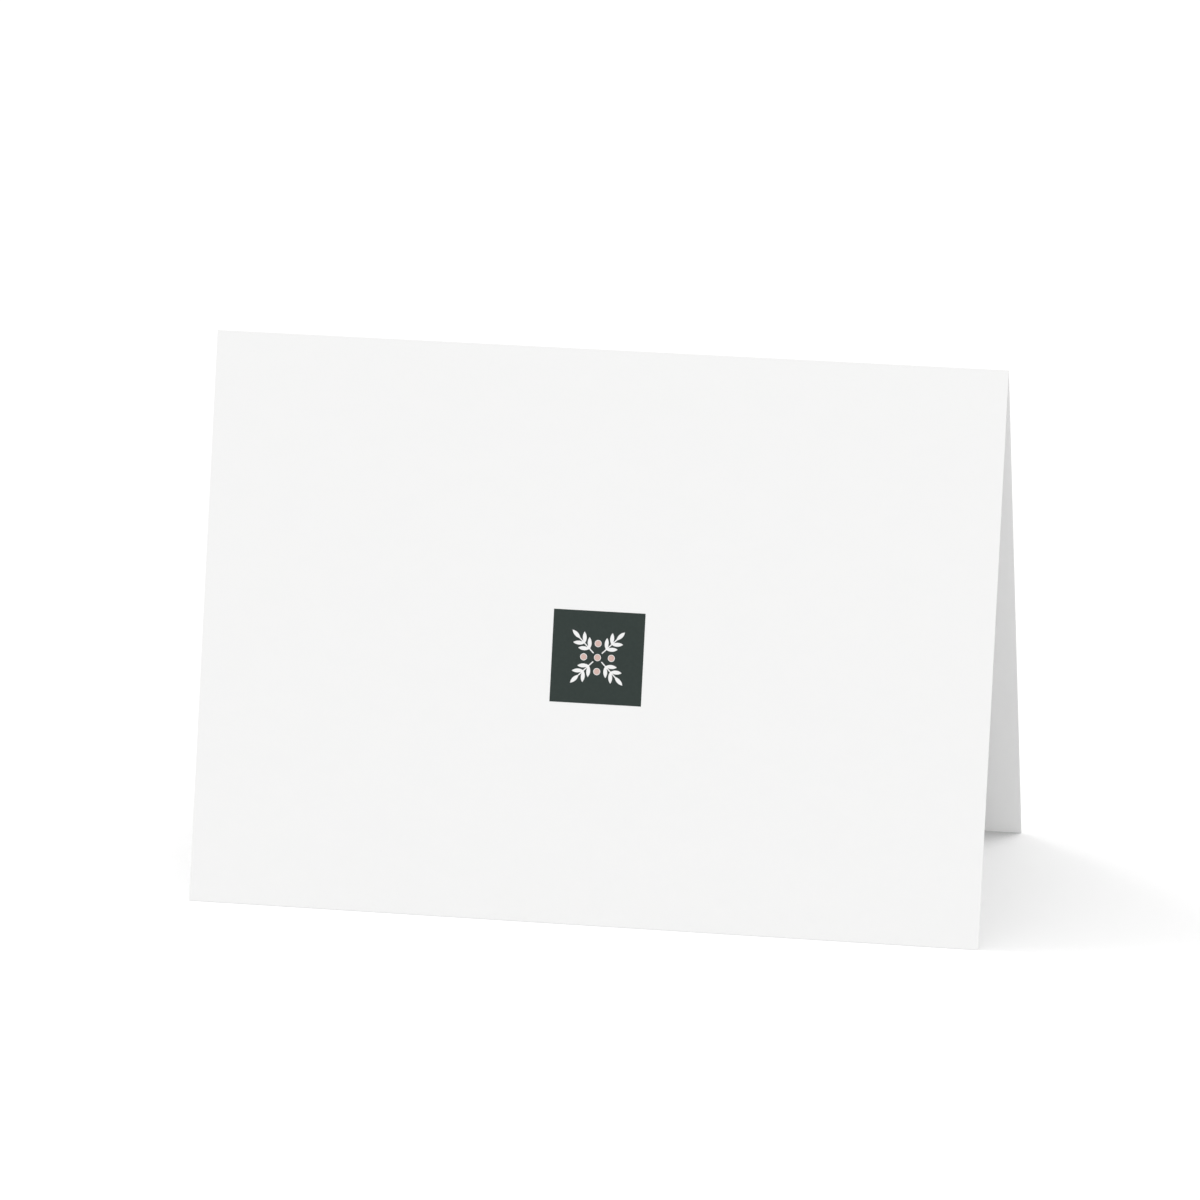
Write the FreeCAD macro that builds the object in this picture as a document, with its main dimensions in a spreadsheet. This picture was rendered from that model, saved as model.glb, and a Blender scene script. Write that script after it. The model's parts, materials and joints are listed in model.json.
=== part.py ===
"""Greeting card: one landscape sheet of card stock, scored and folded once, standing as a tent.

The fold runs along X at the top. The back panel leans towards -Y and carries a small printed square.
The front panel leans towards +Y and is plain. Both cut edges stand on the plane Z = 0, and the
origin lies on that plane, under the middle of the fold. Millimetres, +Z up.

folded_card  the whole sheet as one solid: two flat panels joined by the bend
green_print  the printed square's dark ink film, with a leaf rosette left out of it as bare card
pink_print   the rosette's berries, a film of pink ink
"""

import FreeCAD, Part
import Sketcher
import math
import os

from FreeCAD import Placement, Rotation, Vector

doc = FreeCAD.newDocument("greeting_card")

# Driving dimensions, in millimetres, degrees and plain counts
SIZES = [
    ("card_width", 177.0, "along the fold: a 7 inch card, as trimmed to whole millimetres"),
    ("panel_height", 127.0, "flat sheet, from the score line to a cut edge: 5 inches"),
    ("stock", 0.36, "thickness of 300 g card"),
    ("fold_radius", 0.15, "inside radius of the bend along the score line"),
    ("lean", 17.2, "degrees that each panel leans from upright"),
    ("ink", 0.03, "thickness of the ink films"),
    ("print_side", 20.5, "printed square"),
    ("print_rise", 59.2, "back panel's cut edge to the middle of the square"),
    ("print_shift", 0.75, "middle of the card to the middle of the square, along X"),
    ("arms", 4, "arms of the rosette"),
    ("arm_turn", 45.0, "degrees that the first arm is turned from the square's side"),
    ("arm_start", 1.3, "middle of the rosette to the foot of a stem"),
    ("arm_length", 5.7, "middle of the rosette to the foot of the end leaf"),
    ("stem_width", 0.28, "stem of an arm"),
    ("pairs", 2, "pairs of leaves on a stem"),
    ("first_pair", 2.6, "middle of the rosette to the first pair"),
    ("pair_pitch", 1.65, "one pair of leaves to the next"),
    ("leaf_length", 2.6, "leaf, from foot to tip"),
    ("leaf_width", 0.9, "leaf, across its middle"),
    ("leaf_lean", 42.0, "degrees between a leaf and its stem"),
    ("berry", 1.3, "diameter of a berry"),
    ("berry_ring", 3.1, "middle of the rosette to the middle of an outer berry"),
    ("keyline", 0.14, "bare card left around a berry"),
]
VALUE = {alias: number for alias, number, meaning in SIZES}

# Formulas that several pieces share, written in the sheet's names.
# The bend takes its length, along the middle of the stock, from the flat sheet: half from each panel.
OUTER_RADIUS = "(sizes.fold_radius + sizes.stock)"
HALF_BEND = "((sizes.fold_radius + sizes.stock / 2) * (90 - sizes.lean) * pi / 180)"
FLAT_RUN = f"(sizes.panel_height - {HALF_BEND})"
LEAF_ARC_RADIUS = "(sizes.leaf_length ^ 2 / 4 + sizes.leaf_width ^ 2 / 4) / sizes.leaf_width"


def fill_sheet():
    """Writes the driving dimensions: name, plain number and meaning, one row each."""
    sheet = doc.addObject("Spreadsheet::Sheet", "sizes")
    for row, (alias, number, meaning) in enumerate(SIZES, start=1):
        sheet.set(f"A{row}", alias)
        sheet.set(f"B{row}", str(number))
        sheet.setAlias(f"B{row}", alias)
        sheet.set(f"C{row}", meaning)
    doc.recompute()


def new_body(label):
    """An empty body that may end up as several separate solids."""
    body = doc.addObject("PartDesign::Body", label)
    body.Label = label
    body.AllowCompound = True
    return body


def new_sketch(body, name, plane):
    """A sketch on one of the body's own origin planes."""
    sketch = body.newObject("Sketcher::SketchObject", name)
    origin_plane = next(f for f in body.Origin.OriginFeatures if f.Role == plane)
    sketch.AttachmentSupport = [(origin_plane, "")]
    sketch.MapMode = "FlatFace"
    return sketch


def limit(sketch, name, formula, *constraint):
    """Adds a named dimension to a sketch and binds it to a formula of the sheet."""
    index = sketch.addConstraint(Sketcher.Constraint(*constraint))
    sketch.renameConstraint(index, name)
    sketch.setExpression(f"Constraints.{name}", formula)


def line(sketch, start, end, construction=False):
    """Adds a straight edge and returns its number in the sketch."""
    return sketch.addGeometry(Part.LineSegment(Vector(*start), Vector(*end)), construction)


def arc(sketch, centre, radius, start_angle, end_angle):
    """Adds an arc, counter-clockwise between two angles in radians, and returns its number."""
    circle = Part.Circle(Vector(*centre), Vector(0, 0, 1), radius)
    return sketch.addGeometry(Part.ArcOfCircle(circle, start_angle, end_angle), False)


def same_point(sketch, *pairs):
    """Joins ends of edges: each pair is (edge, point, edge, point)."""
    for pair in pairs:
        sketch.addConstraint(Sketcher.Constraint("Coincident", *pair))


# How a constraint names an edge's start, end and centre, and the sketch's own axes and origin
START, END, CENTRE = range(1, 4)
LEVEL, UPRIGHT = -1, -2
ORIGIN = (LEVEL, START)


def draw_section(sketch):
    """The sheet seen from its end: the bend's two arcs on the middle line, a panel down each side.

    The first drawing is worked out from the sizes, so that the constraints find the same shape.
    """
    lean = math.radians(VALUE["lean"])
    inner = VALUE["fold_radius"]
    outer = inner + VALUE["stock"]
    run = VALUE["panel_height"] - (inner + VALUE["stock"] / 2) * (math.pi / 2 - lean)
    centre_height = run * math.cos(lean) - inner * math.sin(lean)

    def corner(side, radius, down):
        """A point of the back (-1) or front (1) panel, on one face, down from the bend."""
        across = radius * math.cos(lean) + down * math.sin(lean)
        height = centre_height + radius * math.sin(lean) - down * math.cos(lean)
        return side * across, height, 0

    centre = (0, centre_height, 0)
    outer_bend = arc(sketch, centre, outer, lean, math.pi - lean)
    inner_bend = arc(sketch, centre, inner, lean, math.pi - lean)
    outer_face = {}
    cut_edge = {}
    inner_face = {}
    for side in (-1, 1):
        outer_face[side] = line(sketch, corner(side, outer, 0), corner(side, outer, run))
        cut_edge[side] = line(sketch, corner(side, outer, run), corner(side, inner, run))
        inner_face[side] = line(sketch, corner(side, inner, run), corner(side, inner, 0))
        bend_end = END if side < 0 else START
        same_point(
            sketch,
            (outer_face[side], END, cut_edge[side], START),
            (cut_edge[side], END, inner_face[side], START),
        )
        for rule in (
            ("Tangent", outer_face[side], START, outer_bend, bend_end),
            ("Tangent", inner_face[side], END, inner_bend, bend_end),
            ("Parallel", outer_face[side], inner_face[side]),
            ("Perpendicular", outer_face[side], cut_edge[side]),
        ):
            sketch.addConstraint(Sketcher.Constraint(*rule))
    same_point(sketch, (outer_bend, CENTRE, inner_bend, CENTRE))
    for rule in (
        ("PointOnObject", outer_bend, CENTRE, UPRIGHT),
        ("Symmetric", outer_face[-1], END, outer_face[1], END, UPRIGHT),
        ("PointOnObject", cut_edge[-1], END, LEVEL),
    ):
        sketch.addConstraint(Sketcher.Constraint(*rule))
    limit(sketch, "inside_radius", "sizes.fold_radius", "Radius", inner_bend, inner)
    limit(sketch, "thickness", "sizes.stock", "Distance", cut_edge[-1], VALUE["stock"])
    limit(sketch, "flat_run", FLAT_RUN, "Distance", outer_face[-1], run)
    limit(sketch, "slope", "sizes.lean - 90", "Angle", outer_face[1], lean - math.pi / 2)


def folded_card():
    """The sheet: its section swept along the fold, half of the width each way."""
    body = new_body("folded_card")
    section = new_sketch(body, "sheet_section", "YZ_Plane")
    draw_section(section)
    sheet_pad = body.newObject("PartDesign::Pad", "sheet_width")
    sheet_pad.Profile = section
    sheet_pad.Midplane = True
    sheet_pad.setExpression("Length", "sizes.card_width")
    return body


def lay_on_back_panel(body):
    """Puts a film on the back panel: its XY plane on the outer face, +Y up the panel, +Z outwards.

    The lower outer corner of the panel stands off the table by the stock's thickness times the
    sine of the lean, and the square's middle is print_rise up the panel from there.
    """
    body.Placement = Placement(Vector(), Rotation(Vector(1, 0, 0), 90 - VALUE["lean"]))
    body.setExpression("Placement.Rotation.Angle", "90 - sizes.lean")
    body.setExpression("Placement.Base.x", "sizes.print_shift")
    body.setExpression(
        "Placement.Base.y",
        f"-{OUTER_RADIUS} * cos(sizes.lean) - ({FLAT_RUN} - sizes.print_rise) * sin(sizes.lean)",
    )
    body.setExpression(
        "Placement.Base.z", "sizes.stock * sin(sizes.lean) + sizes.print_rise * cos(sizes.lean)"
    )


def draw_rectangle(sketch, low, high, width_formula, low_formula, high_formula):
    """A rectangle with its middle line on the sketch's upright axis."""
    (left, bottom), (right, top) = low, high
    corners = [(left, bottom, 0), (right, bottom, 0), (right, top, 0), (left, top, 0)]
    sides = [line(sketch, corners[i], corners[(i + 1) % 4]) for i in range(4)]
    same_point(sketch, *[(sides[i], END, sides[(i + 1) % 4], START) for i in range(4)])
    sketch.addConstraint(Sketcher.Constraint("Horizontal", sides[2]))
    sketch.addConstraint(Sketcher.Constraint("Symmetric", sides[0], START, sides[0], END, UPRIGHT))
    sketch.addConstraint(Sketcher.Constraint("Vertical", sides[1]))
    sketch.addConstraint(Sketcher.Constraint("Vertical", sides[3]))
    limit(sketch, "across", width_formula, "Distance", sides[0], right - left)
    limit(sketch, "lower", low_formula, "DistanceY", *ORIGIN, sides[0], START, bottom)
    limit(sketch, "upper", high_formula, "DistanceY", *ORIGIN, sides[2], START, top)


def draw_leaf(sketch, foot_height, foot_formula, lean_degrees, angle_formula):
    """An almond leaf: two equal arcs that meet at its foot, on the upright axis, and at its tip."""
    length = VALUE["leaf_length"]
    half_width = VALUE["leaf_width"] / 2
    radius = (length**2 / 4 + half_width**2) / (2 * half_width)
    heading = math.radians(90 - lean_degrees)
    along = Vector(math.cos(heading), math.sin(heading), 0)
    across = Vector(-along.y, along.x, 0)
    foot = Vector(0, foot_height, 0)
    tip = foot + along * length
    middle = (foot + tip) / 2
    spread = math.asin(length / 2 / radius)
    vein = line(sketch, foot, tip, construction=True)
    sides = []
    for turn in (1, -1):
        facing = heading + turn * math.pi / 2
        centre = middle - across * turn * (radius - half_width)
        sides.append(arc(sketch, centre, radius, facing - spread, facing + spread))
    left, right = sides
    same_point(
        sketch,
        (left, START, vein, END),
        (left, END, vein, START),
        (right, START, vein, START),
        (right, END, vein, END),
    )
    sketch.addConstraint(Sketcher.Constraint("Equal", left, right))
    sketch.addConstraint(Sketcher.Constraint("PointOnObject", vein, START, UPRIGHT))
    limit(sketch, "foot", foot_formula, "DistanceY", *ORIGIN, vein, START, foot_height)
    limit(sketch, "leaf_length", "sizes.leaf_length", "Distance", vein, length)
    limit(sketch, "heading", angle_formula, "Angle", vein, heading)
    limit(sketch, "side_radius", LEAF_ARC_RADIUS, "Radius", left, radius)


def draw_berry(sketch, ring, ring_formula, diameter, diameter_formula):
    """A circle on the sketch's upright axis, or at its origin where the ring is 0."""
    circle = sketch.addGeometry(Part.Circle(Vector(0, ring, 0), Vector(0, 0, 1), diameter / 2), False)
    if ring:
        sketch.addConstraint(Sketcher.Constraint("PointOnObject", circle, CENTRE, UPRIGHT))
        limit(sketch, "ring", ring_formula, "DistanceY", *ORIGIN, circle, CENTRE, ring)
    else:
        same_point(sketch, (circle, CENTRE, *ORIGIN))
    limit(sketch, "across", diameter_formula, "Diameter", circle, diameter)


def turned(sketch, angle_formula):
    """Turns a film's sketch about the middle of the square, so that its upright axis is an arm's."""
    sketch.AttachmentOffset = Placement(Vector(), Rotation(Vector(0, 0, 1), VALUE["arm_turn"]))
    sketch.setExpression("AttachmentOffset.Rotation.Angle", angle_formula)


def film(body, sketch, name):
    """Pads a sketch outwards from the card by the thickness of the ink."""
    pad = body.newObject("PartDesign::Pad", name)
    pad.Profile = sketch
    pad.setExpression("Length", "sizes.ink")
    return pad


def bare_card(body, sketch, name):
    """Cuts a sketch out of the film, where the card shows through."""
    pocket = body.newObject("PartDesign::Pocket", name)
    pocket.Profile = sketch
    pocket.Type = "ThroughAll"
    pocket.Reversed = True
    return pocket


def repeat_for_every_arm(pattern, sketch):
    """Makes a pattern repeat its features about the middle of the square, once for every arm."""
    pattern.Axis = (sketch, ["N_Axis"])
    pattern.Angle = 360
    pattern.setExpression("Occurrences", "sizes.arms")


ARM_ANGLE = "sizes.arm_turn"
BETWEEN_ARMS = "sizes.arm_turn + 180 / sizes.arms"


def green_print():
    """The dark square, with the rosette's stems, leaves and berry seats cut out of it."""
    body = new_body("green_print")
    lay_on_back_panel(body)
    half = VALUE["print_side"] / 2
    square = new_sketch(body, "square", "XY_Plane")
    draw_rectangle(
        square,
        (-half, -half),
        (half, half),
        "sizes.print_side",
        "-sizes.print_side / 2",
        "sizes.print_side / 2",
    )
    film(body, square, "dark_field")

    stem = new_sketch(body, "stem", "XY_Plane")
    turned(stem, ARM_ANGLE)
    half = VALUE["stem_width"] / 2
    draw_rectangle(
        stem,
        (-half, VALUE["arm_start"]),
        (half, VALUE["arm_length"] + VALUE["stem_width"]),
        "sizes.stem_width",
        "sizes.arm_start",
        "sizes.arm_length + sizes.stem_width",
    )
    end_leaf = new_sketch(body, "end_leaf", "XY_Plane")
    turned(end_leaf, ARM_ANGLE)
    draw_leaf(end_leaf, VALUE["arm_length"], "sizes.arm_length", 0, "90")
    doc.recompute()
    bare_stem = bare_card(body, stem, "bare_stem")
    bare_end_leaf = bare_card(body, end_leaf, "bare_end_leaf")
    arms = body.newObject("PartDesign::PolarPattern", "arms")
    arms.Originals = [bare_stem, bare_end_leaf]
    repeat_for_every_arm(arms, stem)
    body.Tip = arms

    leaf = new_sketch(body, "leaf", "XY_Plane")
    turned(leaf, ARM_ANGLE)
    draw_leaf(
        leaf, VALUE["first_pair"], "sizes.first_pair", VALUE["leaf_lean"], "90 - sizes.leaf_lean"
    )
    doc.recompute()
    bare_leaf = bare_card(body, leaf, "bare_leaf")
    leaves = body.newObject("PartDesign::MultiTransform", "leaves")
    leaves.Originals = [bare_leaf]
    both_sides = doc.addObject("PartDesign::Mirrored", "both_sides")
    both_sides.MirrorPlane = (leaf, ["V_Axis"])
    up_the_stem = doc.addObject("PartDesign::LinearPattern", "up_the_stem")
    up_the_stem.Direction = (leaf, ["V_Axis"])
    up_the_stem.setExpression("Length", "sizes.pair_pitch * (sizes.pairs - 1)")
    up_the_stem.setExpression("Occurrences", "sizes.pairs")
    every_arm = doc.addObject("PartDesign::PolarPattern", "every_arm")
    repeat_for_every_arm(every_arm, leaf)
    leaves.Transformations = [both_sides, up_the_stem, every_arm]
    body.Tip = leaves

    seat = "sizes.berry + 2 * sizes.keyline"
    seat_width = VALUE["berry"] + 2 * VALUE["keyline"]
    middle_seat = new_sketch(body, "middle_seat", "XY_Plane")
    draw_berry(middle_seat, 0, None, seat_width, seat)
    outer_seat = new_sketch(body, "outer_seat", "XY_Plane")
    turned(outer_seat, BETWEEN_ARMS)
    draw_berry(outer_seat, VALUE["berry_ring"], "sizes.berry_ring", seat_width, seat)
    doc.recompute()
    bare_card(body, middle_seat, "bare_middle_seat")
    bare_outer_seat = bare_card(body, outer_seat, "bare_outer_seat")
    seats = body.newObject("PartDesign::PolarPattern", "outer_seats")
    seats.Originals = [bare_outer_seat]
    repeat_for_every_arm(seats, outer_seat)
    body.Tip = seats
    return body


def pink_print():
    """The berries: one in the middle and one between each two arms, each in its seat."""
    body = new_body("pink_print")
    lay_on_back_panel(body)
    middle_berry = new_sketch(body, "middle_berry", "XY_Plane")
    draw_berry(middle_berry, 0, None, VALUE["berry"], "sizes.berry")
    film(body, middle_berry, "middle_berry_film")
    outer_berry = new_sketch(body, "outer_berry", "XY_Plane")
    turned(outer_berry, BETWEEN_ARMS)
    draw_berry(outer_berry, VALUE["berry_ring"], "sizes.berry_ring", VALUE["berry"], "sizes.berry")
    doc.recompute()
    outer_film = film(body, outer_berry, "outer_berry_film")
    berries = body.newObject("PartDesign::PolarPattern", "outer_berries")
    berries.Originals = [outer_film]
    repeat_for_every_arm(berries, outer_berry)
    body.Tip = berries
    return body


def check_document():
    """Stops if a feature failed, a sketch was left loose or a pocket took nothing away."""
    for feature in doc.Objects:
        if {"Invalid", "Error"} & set(feature.State):
            raise RuntimeError(f"{feature.Label} failed: {feature.State}")
        if feature.isDerivedFrom("Sketcher::SketchObject") and not feature.FullyConstrained:
            raise RuntimeError(f"{feature.Label} is not fully constrained")
        if feature.isDerivedFrom("PartDesign::Pocket"):
            if feature.Shape.Volume >= feature.BaseFeature.Shape.Volume:
                raise RuntimeError(f"{feature.Label} cuts nothing")


def export(bodies):
    """Writes each body's shape under its own name, once all of them are whole."""
    for body in bodies:
        if body.Shape.isNull() or not body.Shape.isValid() or not body.Shape.Solids:
            raise RuntimeError(f"{body.Label} has no valid solid")
    os.makedirs("parts", exist_ok=True)
    for body in bodies:
        body.Shape.exportStep(os.path.join("parts", body.Label + ".step"))
        box = body.Shape.BoundBox
        print(
            f"{body.Label}: {len(body.Shape.Solids)} solids, {body.Shape.Volume:.3f} mm3, "
            f"X {box.XMin:.3f} to {box.XMax:.3f}, Y {box.YMin:.3f} to {box.YMax:.3f}, "
            f"Z {box.ZMin:.3f} to {box.ZMax:.3f}"
        )


fill_sheet()
bodies = [folded_card(), green_print(), pink_print()]
doc.recompute()
check_document()
export(bodies)
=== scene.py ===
# %% [markdown]
# # A folded greeting card
# The real object is one sheet of smooth white card. It was printed flat, scored across the middle with a
# blunt rule, and folded once. It stands on its two cut edges like a small tent. This notebook dresses the
# measured solids of the card: they say where everything is, so nothing here is placed by eye.

# %% Load the card's solids
import json
import math

import bpy
import numpy as np
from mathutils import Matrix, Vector


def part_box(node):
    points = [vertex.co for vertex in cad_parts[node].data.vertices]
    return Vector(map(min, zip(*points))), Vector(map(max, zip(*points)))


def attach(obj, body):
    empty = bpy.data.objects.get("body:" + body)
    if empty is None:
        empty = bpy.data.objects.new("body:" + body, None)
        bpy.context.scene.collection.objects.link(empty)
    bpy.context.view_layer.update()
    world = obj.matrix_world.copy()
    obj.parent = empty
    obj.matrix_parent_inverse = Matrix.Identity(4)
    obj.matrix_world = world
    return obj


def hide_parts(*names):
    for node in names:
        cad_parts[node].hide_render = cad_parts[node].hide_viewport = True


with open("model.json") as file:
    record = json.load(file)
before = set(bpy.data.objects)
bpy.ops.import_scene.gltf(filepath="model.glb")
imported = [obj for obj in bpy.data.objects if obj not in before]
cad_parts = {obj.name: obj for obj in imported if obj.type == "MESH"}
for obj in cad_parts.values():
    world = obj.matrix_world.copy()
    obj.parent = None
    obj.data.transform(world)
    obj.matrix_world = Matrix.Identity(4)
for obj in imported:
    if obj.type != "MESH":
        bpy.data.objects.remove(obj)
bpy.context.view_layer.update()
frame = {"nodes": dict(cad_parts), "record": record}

# %% [markdown]
# ## Reading the fold from the solids
# A folded sheet is described by few numbers: how wide it is, how long each panel is, how thick the stock is,
# how tight the bend is and how far the panels lean. The thickness and the bend are the maker's choice. The
# others are read from the solids. The front panel's face is a mount, and its outward normal gives the lean.
# A panel stands on the lower edge of its inner face. That face lies one fold radius from the centre of the
# bend, which gives the length of the panel's straight run.

# %% Measure the fold
MM = 0.001
STOCK = 0.36 * MM
FOLD_RADIUS = 0.15 * MM

card_low, card_high = (np.array(corner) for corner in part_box("folded_card"))
front_panel = next(mount for mount in frame["record"]["mounts"] if mount["name"] == "front_panel")
LEAN = math.atan2(front_panel["axis"][2], front_panel["axis"][1])
WIDTH = card_high[0] - card_low[0]
MID_RADIUS = FOLD_RADIUS + STOCK / 2
BEND_TURN = math.pi / 2 - LEAN
HALF_BEND = MID_RADIUS * BEND_TURN
BEND_HEIGHT = card_high[2] - FOLD_RADIUS - STOCK
PANEL_RUN = (BEND_HEIGHT + FOLD_RADIUS * math.sin(LEAN)) / math.cos(LEAN)
PANEL = HALF_BEND + PANEL_RUN
print(f"sheet {WIDTH / MM:.1f} x {2 * PANEL / MM:.1f} mm flat, panels lean {math.degrees(LEAN):.1f} degrees")

# %% [markdown]
# ## The camera
# The picture was taken with a very long lens, from a little above and a little to the right, so the card's
# edges stay almost parallel. A long lens far away gives that flat, calm look. A short lens close by would
# splay the panel. The camera is set by the two angles it looks from, the point it looks at and its distance.

# %% Place the camera
CAMERA_AZIMUTH = math.radians(10.0)
CAMERA_ELEVATION = math.radians(18.6)
CAMERA_DISTANCE = 1.8329
CAMERA_AIM = Vector((-2.28 * MM, 0.0, 63.12 * MM))
# The lens and the film are in millimetres, as Blender states them.
LENS = 246.9
FILM_WIDTH = 36.0


def towards(azimuth, elevation):
    """The unit vector that points at something seen at these angles.

    It rises by the sine of the elevation. The cosine is what lies flat, and it is turned by the azimuth
    from the -Y side towards the +X side.
    """
    return Vector((
        math.sin(azimuth) * math.cos(elevation),
        -math.cos(azimuth) * math.cos(elevation),
        math.sin(elevation),
    ))


def add_object(name, data):
    """A new object that shows this data, linked to the scene."""
    made = bpy.data.objects.new(name, data)
    bpy.context.scene.collection.objects.link(made)
    return made


camera = add_object("camera", bpy.data.cameras.new("camera"))
bpy.context.scene.camera = camera
camera.data.lens = LENS
camera.data.sensor_width = FILM_WIDTH
view_line = towards(CAMERA_AZIMUTH, CAMERA_ELEVATION)
camera.location = CAMERA_AIM + view_line * CAMERA_DISTANCE
camera.rotation_euler = view_line.to_track_quat("Z", "Y").to_euler()
print("camera at", [round(value, 3) for value in camera.location])

# %% [markdown]
# ## Folding a sheet with a formula
# A sheet could be made as two boxes hinged together, but a real one has no joint: it is one surface that
# turns. So the fold is written as a map. A point of the flat sheet has a place across the card and a
# distance from the score line. Close to the score the sheet follows an arc, and beyond it each panel runs
# straight on from where the arc ended. The map keeps every length along the middle of the stock, which is
# what paper does: it bends, but it doesn't stretch.

# %% Fold the flat sheet
def fold(across, from_score):
    """The folded place of points of the flat sheet, whose score line is at 0 and front panel is positive.

    The turn at a point is its distance from the score divided by the bend's radius, and stays at its
    largest beyond the bend. The point is the bend's centre, plus the radius along the turned normal,
    plus what is left of the distance along the turned tangent.
    """
    in_bend = np.clip(from_score, -HALF_BEND, HALF_BEND)
    beyond = from_score - in_bend
    turn = in_bend / MID_RADIUS
    along = MID_RADIUS * np.sin(turn) + beyond * np.cos(turn)
    up = BEND_HEIGHT + MID_RADIUS * np.cos(turn) - beyond * np.sin(turn)
    return np.stack(np.broadcast_arrays(across, along, up), axis=-1)


foot = fold(0.0, PANEL)
print("middle of the front cut edge, in mm:", np.round(foot / MM, 2))
print("the solid reaches forward to", np.round(card_high[1] / MM, 2), "mm")

# %% [markdown]
# ## The sheet as a grid
# The surface through the middle of the stock is a grid of two parameters: across the card, and away from
# the score. The panels are flat, so they need few rows. The bend turns through about 146 degrees in less
# than a millimetre, so its rows are close together. The same two parameters, scaled to run from 0 to 1, are
# the sheet's UV map, so that a finish can be laid on the sheet as if it were still flat.

# %% Lay out the grid
BEND_ROWS = 32
PANEL_ROWS = 12
COLUMNS = 24
SHEET_UV = "flat_sheet"
SCORE_V = 0.5


def make_grid(name, places, u, v):
    """A mesh object from a grid of places, with a face between each four neighbours and a UV per place.

    The faces' corners go round each cell so that the normals point out of the fold. A place in row i
    and column j has the UV (u[j], v[i]).
    """
    rows, columns = places.shape[:2]
    number = np.arange(rows * columns).reshape(rows, columns)
    corners = np.stack([number[:-1, :-1], number[:-1, 1:], number[1:, 1:], number[1:, :-1]], axis=-1)
    corners = corners.reshape(-1, 4)
    mesh = bpy.data.meshes.new(name)
    mesh.from_pydata(places.reshape(-1, 3), [], corners)
    uv = np.stack(np.meshgrid(u, v), axis=-1).reshape(-1, 2)
    uv_layer = mesh.uv_layers.new(name=SHEET_UV)
    uv_layer.data.foreach_set("uv", uv[corners.reshape(-1)].ravel())
    mesh.shade_smooth()
    return add_object(name, mesh)


panel_rows = np.linspace(HALF_BEND, PANEL, PANEL_ROWS)
bend_rows = np.linspace(-HALF_BEND, HALF_BEND, BEND_ROWS)
from_score = np.concatenate([-panel_rows[::-1], bend_rows[1:-1], panel_rows])
across = np.linspace(card_low[0], card_high[0], COLUMNS)
sheet = make_grid(
    "card_sheet",
    fold(across[None, :], from_score[:, None]),
    u=(across - card_low[0]) / WIDTH,
    v=SCORE_V + from_score / (2 * PANEL),
)
print("middle surface:", len(sheet.data.vertices), "points,", len(sheet.data.polygons), "faces")

# %% [markdown]
# ## Thickness and cut edges
# Stock of 300 grams per square metre is about a third of a millimetre thick. The Solidify modifier gives the
# middle surface that thickness, half to each side, and marks the cut edges and the inside for finishes of
# their own. A guillotine leaves the edges crisp but a little bruised, so a Bevel modifier eases them by a few
# hundredths of a millimetre, which is what lets an edge catch a thin line of light.

# %% Thicken the sheet and ease its edges
EASED_EDGE = 0.05 * MM
EASING_STEPS = 3
SHARP_ANGLE = math.radians(50.0)
# The sheet's first finish is the outside's. These are the places of the other two in its list.
EDGE_FINISH = 1
INSIDE_FINISH = 2

thickness = sheet.modifiers.new("stock", "SOLIDIFY")
thickness.thickness = STOCK
thickness.offset = 0.0
thickness.use_even_offset = True
thickness.material_offset_rim = EDGE_FINISH
thickness.material_offset = INSIDE_FINISH
easing = sheet.modifiers.new("eased_edges", "BEVEL")
easing.width = EASED_EDGE
easing.segments = EASING_STEPS
easing.limit_method = "ANGLE"
easing.angle_limit = SHARP_ANGLE
easing.harden_normals = True
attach(sheet, "root")
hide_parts("folded_card")
print("modifiers on the sheet:", [modifier.name for modifier in sheet.modifiers])

# %% [markdown]
# ## What paper looks like
# Good card is white, but never one flat white. Its fibres settle in faint clouds a few millimetres wide, and
# the surface has a fine tooth. The fibres lie mostly one way, the grain, and a card is folded along it. All
# of these are noise on Object coordinates, drawn out along the fold. A photograph of card could be laid on
# the sheet instead, but it would repeat or blur, and noise stays fine however close the camera comes.

# %% Helpers for a finish and its grain
def start_finish(name, roughness, shine):
    """A new material of this roughness and shine, as (material, its node tree, its Principled shader)."""
    material = bpy.data.materials.new(name)
    material.use_nodes = True
    tree = material.node_tree
    shader = tree.nodes["Principled BSDF"]
    shader.inputs["Roughness"].default_value = roughness
    shader.inputs["Specular IOR Level"].default_value = shine
    return material, tree, shader


def grain(tree, size, detail, drawn_out):
    """Noise from 0 to 1 with blotches of about this size in metres, so many times longer along the fold.

    The place is divided by the size first, so the noise itself runs at a scale of 1.
    """
    place = tree.nodes.new("ShaderNodeTexCoord")
    scale = tree.nodes.new("ShaderNodeMapping")
    scale.inputs["Scale"].default_value = (1 / (size * drawn_out), 1 / size, 1 / size)
    noise = tree.nodes.new("ShaderNodeTexNoise")
    noise.inputs["Scale"].default_value = 1.0
    noise.inputs["Detail"].default_value = detail
    tree.links.new(place.outputs["Object"], scale.inputs["Vector"])
    tree.links.new(scale.outputs["Vector"], noise.inputs["Vector"])
    return noise.outputs["Fac"]


def raise_relief(tree, shader, *layers):
    """Bumps the shader's normal by each layer, given as (height from 0 to 1, depth in metres)."""
    normal = None
    for height, depth in layers:
        bump = tree.nodes.new("ShaderNodeBump")
        bump.inputs["Distance"].default_value = depth
        tree.links.new(height, bump.inputs["Height"])
        if normal:
            tree.links.new(normal, bump.inputs["Normal"])
        normal = bump.outputs["Normal"]
    tree.links.new(normal, shader.inputs["Normal"])


# %% [markdown]
# ## Working things out in a node tree
# A node tree has one node for each step of a formula. Written out in full, each step is a few lines that say
# little. So each kind of node gets a helper, which makes the node, feeds it and gives back its output, and
# the steps read like the formula they stand for.

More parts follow.
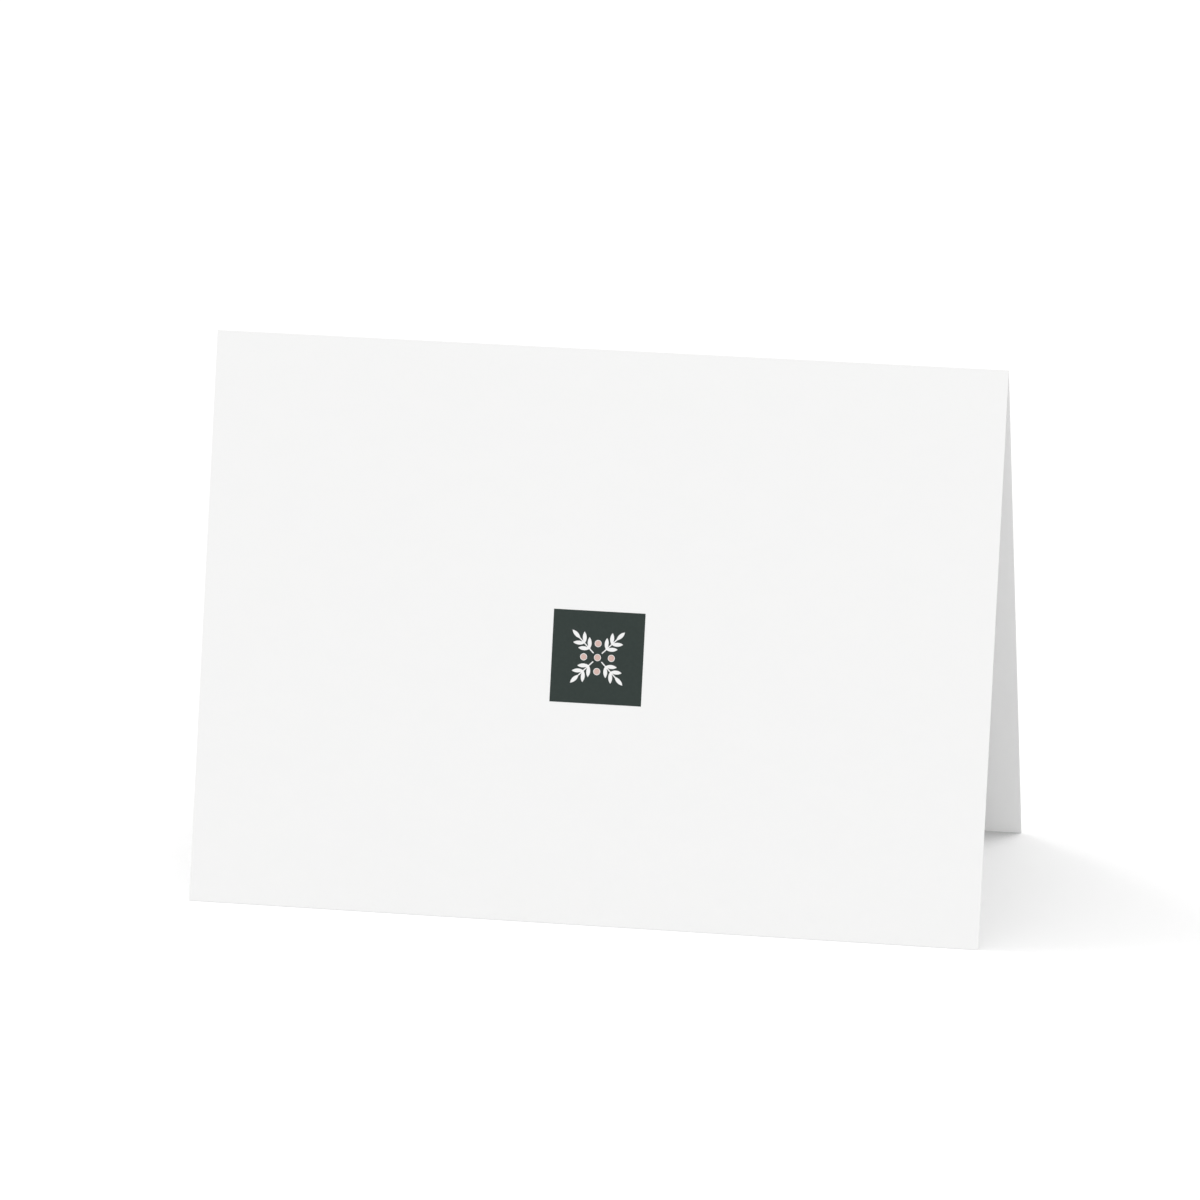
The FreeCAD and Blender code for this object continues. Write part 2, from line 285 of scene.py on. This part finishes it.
# %% Helpers for numbers and colours
OPAQUE = 1.0
NOISE_LOW = 0.3
NOISE_HIGH = 0.7


def feed(tree, socket, value):
    """Gives a socket its value: the output of another node, a colour as (red, green, blue) or a number."""
    if isinstance(value, bpy.types.NodeSocket):
        tree.links.new(value, socket)
    elif isinstance(value, tuple):
        socket.default_value = (*value, OPAQUE)
    else:
        socket.default_value = value


def axes(tree, vector):
    """The X, Y and Z of a vector, as outputs that are found by those names."""
    split = tree.nodes.new("ShaderNodeSeparateXYZ")
    tree.links.new(vector, split.inputs["Vector"])
    return split.outputs


def ramp(tree, value, start, end, first=0.0, last=1.0):
    """A number that goes evenly from first to last while the value goes from start to end."""
    node = tree.nodes.new("ShaderNodeMapRange")
    settings = {"Value": value, "From Min": start, "From Max": end, "To Min": first, "To Max": last}
    for name, setting in settings.items():
        feed(tree, node.inputs[name], setting)
    return node.outputs["Result"]


def work_out(tree, operation, *values):
    """The output of a math node, given plain numbers and the outputs of other nodes."""
    node = tree.nodes.new("ShaderNodeMath")
    node.operation = operation
    for socket, value in zip(node.inputs, values):
        feed(tree, socket, value)
    return node.outputs["Value"]


def mix_colours(tree, amount, first, second):
    """A colour that goes from the first to the second while the amount goes from 0 to 1."""
    mix = tree.nodes.new("ShaderNodeMix")
    mix.data_type = "RGBA"
    for name, value in {"Factor": amount, "A": first, "B": second}.items():
        feed(tree, mix.inputs[name], value)
    return mix.outputs["Result"]


def mottle(tree, noise, first, second):
    """A colour that wanders between two, by a noise whose middle part is spread from 0 to 1."""
    return mix_colours(tree, ramp(tree, noise, NOISE_LOW, NOISE_HIGH), first, second)


# %% [markdown]
# ## The card stock
# The clouds move the colour by a fraction of a percent, and the tooth moves the surface by a few thousandths
# of a millimetre. Along the score runs a hair-thin line, a little darker and rougher than the panels. That
# line follows the sheet, so it is read from the sheet's own UV map. Card for greetings is often coated on one
# side only: the outside is smooth for print, and the inside is bare and rougher, to write on. The inside is
# also whiter, and that whiteness is painted light, which brightens the shaded inside. Both are the same
# paper, so one function makes them both.

# %% Make the three finishes of the card
# Each grain is its size, its detail and how many times longer it is along the fold.
CLOUD = (5.0 * MM, 3.0, 1.6)
TOOTH = (0.3 * MM, 2.0, 1.5)
SCORE_LINE_GRAIN = (0.08 * MM, 3.0, 5.0)
EDGE_FIBRE = (0.08 * MM, 3.0, 6.0)
CLOUD_DEPTH = 0.004 * MM
TOOTH_DEPTH = 0.004 * MM
BARE_TOOTH_DEPTH = 0.006 * MM
FIBRE_DEPTH = 0.012 * MM
CREASE = 0.5 * MM
# The colour of the thin, darker line along the score.
SCORE_LINE_WHITE = (0.79, 0.786, 0.776)
# The cut edge's colours, a touch darker than the faces.
EDGE_DARKER = (0.86, 0.858, 0.848)
EDGE_LIGHTER = (0.905, 0.904, 0.897)


def near_score(tree):
    """From 1 on the score line to 0 where the crease ends, by the distance along the flat sheet."""
    place = tree.nodes.new("ShaderNodeUVMap")
    place.uv_map = SHEET_UV
    from_score_line = work_out(tree, "SUBTRACT", axes(tree, place.outputs["UV"])["Y"], SCORE_V)
    distance = work_out(tree, "ABSOLUTE", from_score_line)
    fade = ramp(tree, distance, 0.0, CREASE / (2 * PANEL), first=1.0, last=0.0)
    fade.node.interpolation_type = "SMOOTHSTEP"
    return fade


def card_face(name, darker, lighter, roughness, shine, tooth_depth):
    """A face of white card: faint clouds, a fine tooth, hardly a shine, and a darker, rougher line at the
    score.
    """
    material, tree, shader = start_finish(name, roughness, shine)
    clouds = grain(tree, *CLOUD)
    tooth = grain(tree, *TOOTH)
    score_mark = work_out(tree, "MULTIPLY", near_score(tree), grain(tree, *SCORE_LINE_GRAIN))
    colour = mix_colours(tree, score_mark, mottle(tree, clouds, darker, lighter), SCORE_LINE_WHITE)
    tree.links.new(colour, shader.inputs["Base Color"])
    raise_relief(tree, shader, (clouds, CLOUD_DEPTH), (tooth, tooth_depth), (score_mark, FIBRE_DEPTH))
    return material


def cut_edge():
    """The cut edge: a touch darker than the faces, with fibres along the sheet."""
    material, tree, shader = start_finish("cut_edge", roughness=0.95, shine=0.15)
    fibres = grain(tree, *EDGE_FIBRE)
    tree.links.new(mottle(tree, fibres, EDGE_DARKER, EDGE_LIGHTER), shader.inputs["Base Color"])
    raise_relief(tree, shader, (fibres, FIBRE_DEPTH))
    return material


outside = card_face(
    "white_card",
    darker=(0.911, 0.912, 0.909),
    lighter=(0.917, 0.917, 0.914),
    roughness=0.85,
    shine=0.25,
    tooth_depth=TOOTH_DEPTH,
)
# The inside's colours are whiter than the outside's: painted light that brightens the shaded inside.
inside = card_face(
    "writing_side_painted_lighter",
    darker=(0.937, 0.938, 0.935),
    lighter=(0.943, 0.943, 0.940),
    roughness=0.95,
    shine=0.15,
    tooth_depth=BARE_TOOTH_DEPTH,
)
for finish in (outside, cut_edge(), inside):
    sheet.data.materials.append(finish)
print("finishes on the sheet:", [material.name for material in sheet.data.materials])

# %% [markdown]
# ## The printed square
# The square is a solid field of dark grey-green ink, and the white leaves are plain card left inside it. The
# berries are a second colour. Offset ink dries matt on such card, and it stays a trifle uneven, because the
# tooth takes it up unevenly. The ink films are solids of the card itself, so they keep their meshes and only
# get a finish, with the same tooth as the card under them.

# %% Make the two inks
INK_COAT = (0.7 * MM, 4.0, 1.0)


def matt_ink(name, thin, full):
    """A matt ink whose colour wanders between a thin and a full coat, over the card's own tooth."""
    material, tree, shader = start_finish(name, roughness=0.7, shine=0.2)
    tree.links.new(mottle(tree, grain(tree, *INK_COAT), thin, full), shader.inputs["Base Color"])
    raise_relief(tree, shader, (grain(tree, *TOOTH), TOOTH_DEPTH))
    return material


inks = {
    "green_print": matt_ink("dark_green_ink", thin=(0.0345, 0.0475, 0.0430), full=(0.0310, 0.0435, 0.0392)),
    "pink_print": matt_ink("soft_pink_ink", thin=(0.685, 0.486, 0.434), full=(0.652, 0.455, 0.404)),
}
for film, ink in inks.items():
    frame["nodes"][film].data.materials.clear()
    frame["nodes"][film].data.materials.append(ink)
print("inks:", {film: ink.name for film, ink in inks.items()})

# %% [markdown]
# ## What is seen and what is lit
# The card stands on a white sweep that goes straight to white in the picture and keeps only the card's
# shadow. Turning the lamps up until the floor burns out would burn the card out too. So the floor and the
# world know what looks at them. To the light that bounces about they are plain white paint and plain sky,
# and what the camera sees of them is a shader of its own. The Light Path node tells the two apart.

# %% Helpers for the floor and the world
def plain(tree, kind, grey):
    """The output of one plain shader node of this kind, in a grey of this brightness."""
    node = tree.nodes.new(kind)
    feed(tree, node.inputs["Color"], (grey, grey, grey))
    return node.outputs[0]


def mix_shaders(tree, amount, first, second):
    """A shader that goes from the first to the second while the amount goes from 0 to 1; None is black."""
    mix = tree.nodes.new("ShaderNodeMixShader")
    tree.links.new(amount, mix.inputs["Fac"])
    for socket, shader in zip(mix.inputs[1:], (first, second)):
        if shader:
            tree.links.new(shader, socket)
    return mix.outputs["Shader"]


def seen_or_lit(tree, lit, seen, surface):
    """Ends the tree in one shader for the light that bounces about and another for what looks.

    The camera, mirrors and glass look. The amount is 1 if the ray is any of theirs, and otherwise 0.
    """
    path = tree.nodes.new("ShaderNodeLightPath")
    amount = path.outputs["Is Camera Ray"]
    for looker in ("Is Glossy Ray", "Is Transmission Ray"):
        amount = work_out(tree, "MAXIMUM", amount, path.outputs[looker])
    tree.links.new(mix_shaders(tree, amount, lit, seen), surface)


# %% [markdown]
# ## The white sweep
# To the camera the floor is a thinner paint over a faint glow: the glow lifts it to full white, and the
# thinner paint keeps the shadow as soft and pale as it is in a studio with bright walls. The glow is a little
# stronger on the left, where the main light comes from, so that only the right side shows a shadow: that rise
# is painted light. Such a glow would also fill the narrow corner where a leaning panel meets the floor, and a
# card looks as if it floats without a dark patch there. So both are dimmed by how much of the floor's near
# surroundings is card, which is painted shade.
# Outside the two lines on which the card stands, the picture is burnt out right up to the paper, so there
# the camera sees plain white, and a trifle more, so that it stays white when the render's noise is filtered.
# It fades in under the cut edges, which overhang the floor by a hair, so that the gap below them stays a
# faint line. There the white is painted light over the gap's shade.

# %% Make the floor
FLOOR_HALF = 6.0
FLOOR_PAINT = 0.95
SEEN_PAINT = 0.767
# The glow is stronger on the left, where the key light comes from: that rise is painted light.
GLOW_LEFT = 0.33
GLOW_RIGHT = 0.272
# How far and how much the floor's glow and paint are dimmed where the card leans over them: painted shade.
CORNER_REACH = 40.0 * MM
CORNER_TIGHT = 0.34
CORNER_OPEN = 0.66
CORNER_SHADE = 0.46
BURNT_OUT = 1.1
STANDING_LINE = card_high[1] - STOCK * math.cos(LEAN)


def painted_corner_shade(tree, open_floor):
    """The open floor's shader with painted shade: darker where little of the half sphere within reach above
    it is free.

    The free share is 1 in the open and falls in a corner. The shader is whole down to CORNER_OPEN, and
    from there it falls evenly to CORNER_SHADE at CORNER_TIGHT.
    """
    free = tree.nodes.new("ShaderNodeAmbientOcclusion")
    free.inputs["Distance"].default_value = CORNER_REACH
    amount = ramp(tree, free.outputs["AO"], CORNER_TIGHT, CORNER_OPEN, first=CORNER_SHADE)
    return mix_shaders(tree, amount, None, open_floor)


def glowing_paint(tree, sideways):
    """Thin white paint over a glow that goes evenly from GLOW_LEFT to GLOW_RIGHT along the card; the rise to
    the left is painted light.
    """
    glow = tree.nodes.new("ShaderNodeEmission")
    strength = ramp(tree, sideways, card_low[0], card_high[0], first=GLOW_LEFT, last=GLOW_RIGHT)
    tree.links.new(strength, glow.inputs["Strength"])
    both = tree.nodes.new("ShaderNodeAddShader")
    tree.links.new(plain(tree, "ShaderNodeBsdfDiffuse", SEEN_PAINT), both.inputs[0])
    tree.links.new(glow.outputs["Emission"], both.inputs[1])
    return both.outputs["Shader"]


def white_sweep():
    """The floor: white paint to the light, and to the camera glowing paint that is white past the card."""
    material = bpy.data.materials.new("white_sweep")
    material.use_nodes = True
    tree = material.node_tree
    tree.nodes.remove(tree.nodes["Principled BSDF"])
    place = axes(tree, tree.nodes.new("ShaderNodeTexCoord").outputs["Object"])
    # Painted light rising to the left, and painted shade in the corners under the card.
    seen_with_painted_light_and_shade = painted_corner_shade(tree, glowing_paint(tree, place["X"]))
    from_fold = work_out(tree, "ABSOLUTE", place["Y"])
    # Under the overhanging cut edges this fade is painted light over the gap's shade.
    past_card = ramp(tree, from_fold, STANDING_LINE, card_high[1])
    seen = mix_shaders(tree, past_card, seen_with_painted_light_and_shade, plain(tree, "ShaderNodeEmission", BURNT_OUT))
    paint = plain(tree, "ShaderNodeBsdfDiffuse", FLOOR_PAINT)
    seen_or_lit(tree, paint, seen, tree.nodes["Material Output"].inputs["Surface"])
    return material


floor_mesh = bpy.data.meshes.new("floor")
floor_corners = FLOOR_HALF * np.array([[-1, -1, 0], [1, -1, 0], [1, 1, 0], [-1, 1, 0]])
floor_mesh.from_pydata(floor_corners, [], [(0, 1, 2, 3)])
floor_mesh.materials.append(white_sweep())
floor = add_object("floor", floor_mesh)
print("floor:", 2 * FLOOR_HALF, "m wide, card stands", np.round(STANDING_LINE / MM, 2), "mm off its middle")

# %% [markdown]
# ## The sky
# A real card would be shot in a room with white walls all round, which light it evenly. The world is such a
# room: a plain sky, nearly white, to the light, and full white to the camera.

# %% Make the world
SKY = 0.99
BACKDROP = 1.0

world = bpy.data.worlds.new("studio")
world.use_nodes = True
bpy.context.scene.world = world
world_tree = world.node_tree
world_tree.nodes.remove(world_tree.nodes["Background"])
sky = plain(world_tree, "ShaderNodeBackground", SKY)
backdrop = plain(world_tree, "ShaderNodeBackground", BACKDROP)
seen_or_lit(world_tree, sky, backdrop, world_tree.nodes["World Output"].inputs["Surface"])
print("world:", world.name, "with", len(world_tree.nodes), "nodes")

# %% [markdown]
# ## The key light
# The shadow in the picture tells where the main light is. It falls to the right and a little towards the
# camera, and the fold's shadow lands about 75 mm from the point below the fold, so the light is high on the
# left, behind the card. Its edges are soft, so the light is wide. A sun lamp with a wide angle does that:
# its light is even over the whole card.

# %% Hang the key light
KEY_AZIMUTH = math.radians(251.0)
KEY_ELEVATION = math.radians(58.0)
KEY_WIDTH = math.radians(12.0)
KEY_STRENGTH = 0.3

key = add_object("key", bpy.data.lights.new("key", "SUN"))
key.data.energy = KEY_STRENGTH
key.data.angle = KEY_WIDTH
key_line = towards(KEY_AZIMUTH, KEY_ELEVATION)
key.rotation_euler = key_line.to_track_quat("Z", "Y").to_euler()
print("key light from", [round(value, 2) for value in key_line])

# %% [markdown]
# ## Finish
# The colours should come out as they were written, so the view transform is Standard.

# %% Set the view transform
bpy.context.scene.view_settings.view_transform = "Standard"
